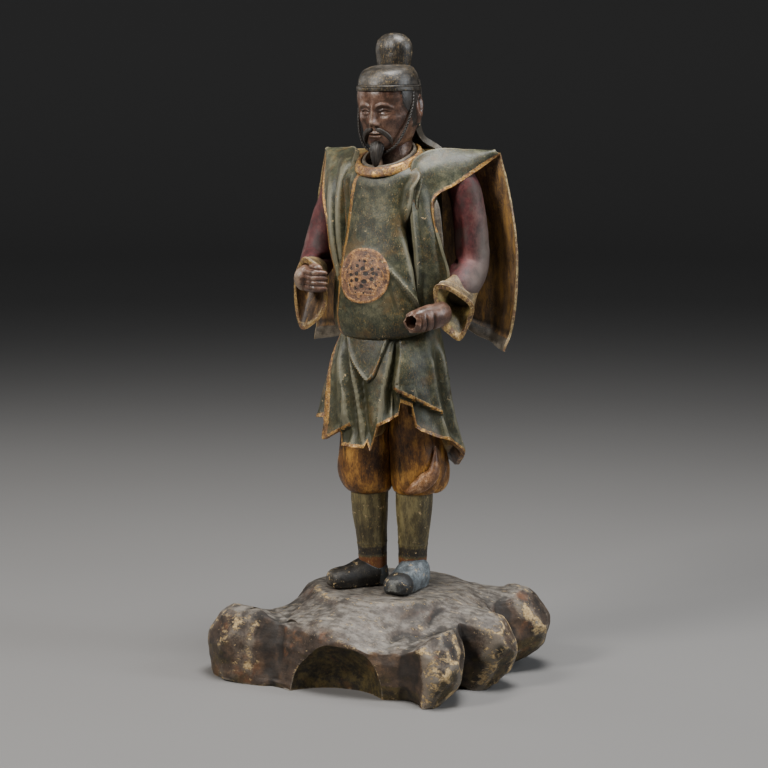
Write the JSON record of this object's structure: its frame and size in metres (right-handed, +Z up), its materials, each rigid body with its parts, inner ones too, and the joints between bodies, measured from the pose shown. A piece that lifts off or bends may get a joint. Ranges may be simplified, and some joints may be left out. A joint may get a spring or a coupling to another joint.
{
  "type": "standing attendant statue",
  "caption": "Carved and painted wooden attendant in court cap, wide-sleeved robe, breeches and shoes, standing on a carved wooden rock base.",
  "frame": {"origin": "on the floor, under the figure's own axis, which is mid-way between the legs", "axes": "+Z up, the figure faces -Y, its left hand is towards +X"},
  "size_m": [0.3838, 0.3212, 0.8003],
  "materials": {
    "painted_wood": "aged paint and gilding, satin",
    "lacquered_rock": "aged paint over gesso, satin"
  },
  "bodies": {
    "root": {"figure": "painted_wood", "rock_base": "lacquered_rock"}
  },
  "joints": []
}
